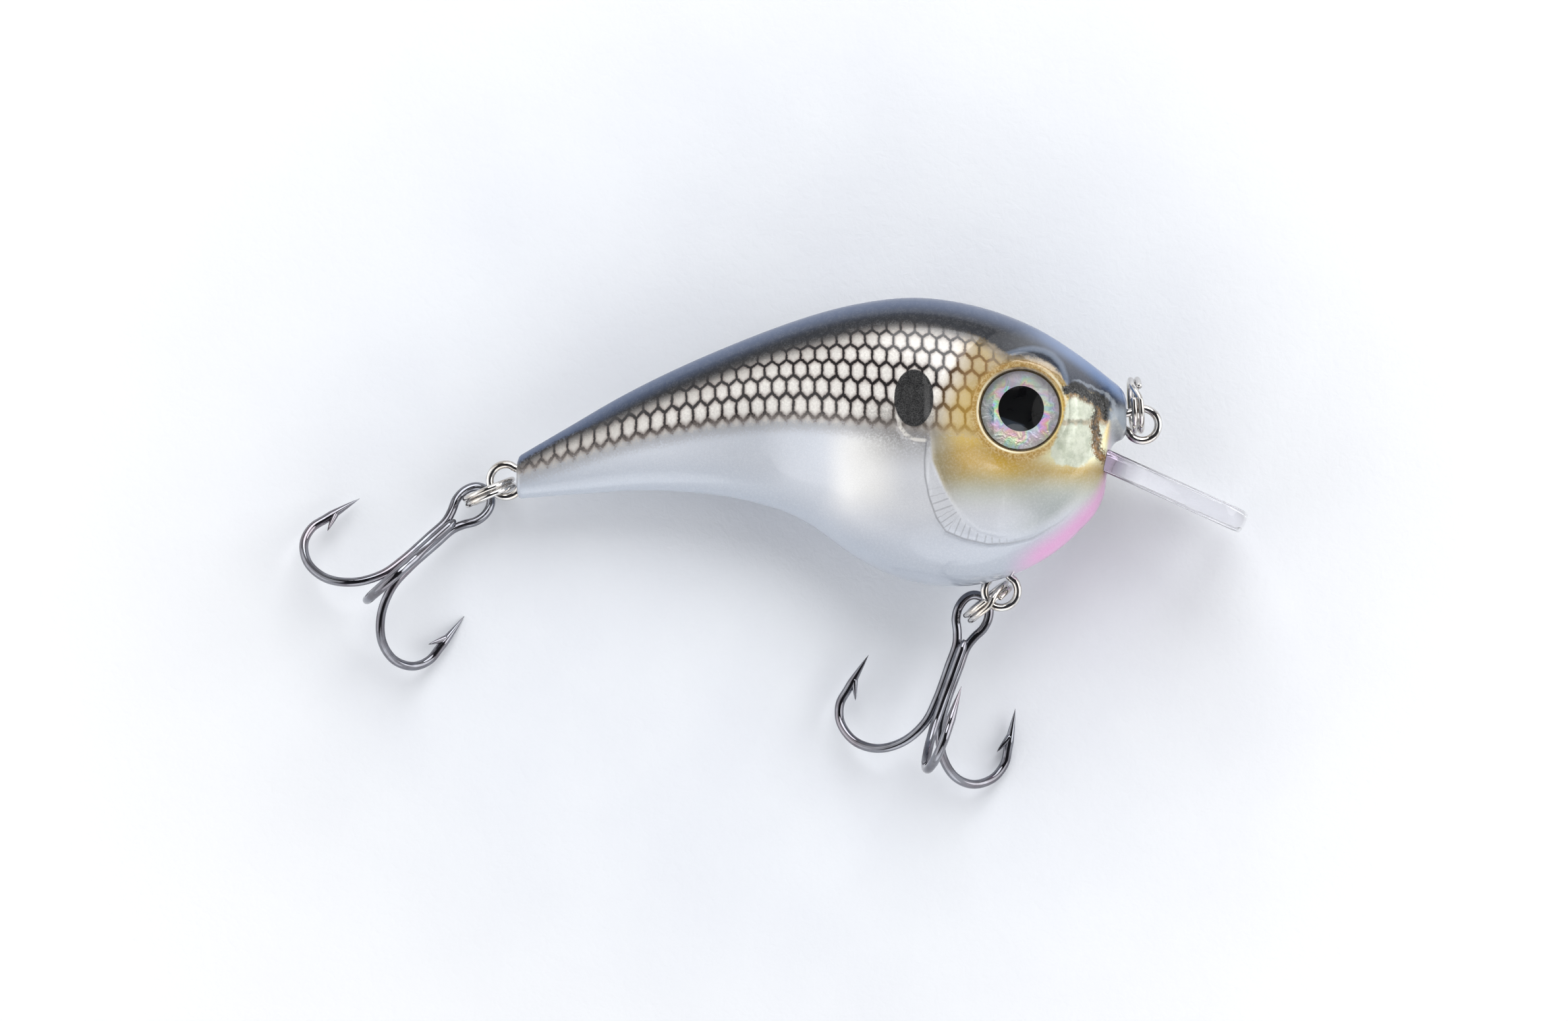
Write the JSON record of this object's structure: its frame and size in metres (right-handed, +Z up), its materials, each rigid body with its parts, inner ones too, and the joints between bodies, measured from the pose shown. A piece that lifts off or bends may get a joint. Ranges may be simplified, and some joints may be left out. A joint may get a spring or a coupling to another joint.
{
  "type": "crankbait fishing lure",
  "caption": "Short fat-bellied diving crankbait with a clear bill, wire eyelets, split rings and treble hooks, lying on its flank.",
  "frame": {"origin": "on the surface that the lure lies on, under the middle of its bounding box", "axes": "+X from the tail towards the nose, +Y from the belly towards the back, +Z up out of the surface, on the side of the lure's right flank"},
  "size_m": [0.103, 0.0534, 0.0209],
  "materials": {
    "painted_shell": "pearl paint with dark back and scales, under clear gloss",
    "clear_bill": "clear polycarbonate",
    "eye_dome": "clear resin",
    "eye_foil": "holographic foil with a black pupil",
    "nickel_wire": "bright nickel",
    "black_nickel": "black nickel",
    "ballast": "plain metal",
    "bearing_steel": "polished steel"
  },
  "bodies": {
    "lure_body": {"right_shell": "painted_shell", "left_shell": "painted_shell", "diving_bill": "clear_bill", "right_eye_foil": "eye_foil", "right_eye_dome": "eye_dome", "left_eye_foil": "eye_foil", "left_eye_dome": "eye_dome", "nose_eyelet": "nickel_wire", "belly_eyelet": "nickel_wire", "tail_eyelet": "nickel_wire", "ballast_slug": "ballast"},
    "nose_ring": {"nose_split_ring": "nickel_wire"},
    "belly_ring": {"belly_split_ring": "nickel_wire"},
    "tail_ring": {"tail_split_ring": "nickel_wire"},
    "belly_treble": {"belly_treble_double_hook": "black_nickel", "belly_treble_single_hook": "black_nickel"},
    "tail_treble": {"tail_treble_double_hook": "black_nickel", "tail_treble_single_hook": "black_nickel"},
    "rattle_1": {"rattle_ball_1": "bearing_steel"},
    "rattle_2": {"rattle_ball_2": "bearing_steel"},
    "rattle_3": {"rattle_ball_3": "bearing_steel"}
  },
  "joints": [
    {"name": "belly_ring_swing", "type": "hinge", "parent": "lure_body", "child": "belly_ring", "pos_m": [0.02501, -0.00494, 0.00988], "axis": [-0.0802, 0, 0.9968], "range_deg": [-14, 60]},
    {"name": "belly_treble_swing", "type": "hinge", "parent": "belly_ring", "child": "belly_treble", "pos_m": [0.02368, -0.00614, 0.0079], "axis": [-0.6347, 0.7727, 0], "range_deg": [-55, 60]},
    {"name": "tail_ring_swing", "type": "hinge", "parent": "lure_body", "child": "tail_ring", "pos_m": [-0.02877, 0.00701, 0.00556], "axis": [-0.0802, 0, 0.9968], "range_deg": [-70, 60]},
    {"name": "tail_treble_swing", "type": "hinge", "parent": "tail_ring", "child": "tail_treble", "pos_m": [-0.03057, 0.00574, 0.00372], "axis": [-0.3907, 0.9205, 0], "range_deg": [-75, 75]},
    {"name": "nose_ring_swing", "type": "hinge", "parent": "lure_body", "child": "nose_ring", "pos_m": [0.04016, 0.01301, 0.0111], "axis": [-0.0802, 0, 0.9968], "range_deg": [-80, 5]},
    {"name": "rattle_1_slide", "type": "slide", "parent": "lure_body", "child": "rattle_1", "axis": [-0.0802, 0, 0.9968], "range_m": [0, 0.0056]},
    {"name": "rattle_2_slide", "type": "slide", "parent": "lure_body", "child": "rattle_2", "axis": [-0.0802, 0, 0.9968], "range_m": [0, 0.0078]},
    {"name": "rattle_3_slide", "type": "slide", "parent": "lure_body", "child": "rattle_3", "axis": [-0.0802, 0, 0.9968], "range_m": [0, 0.0088]}
  ]
}
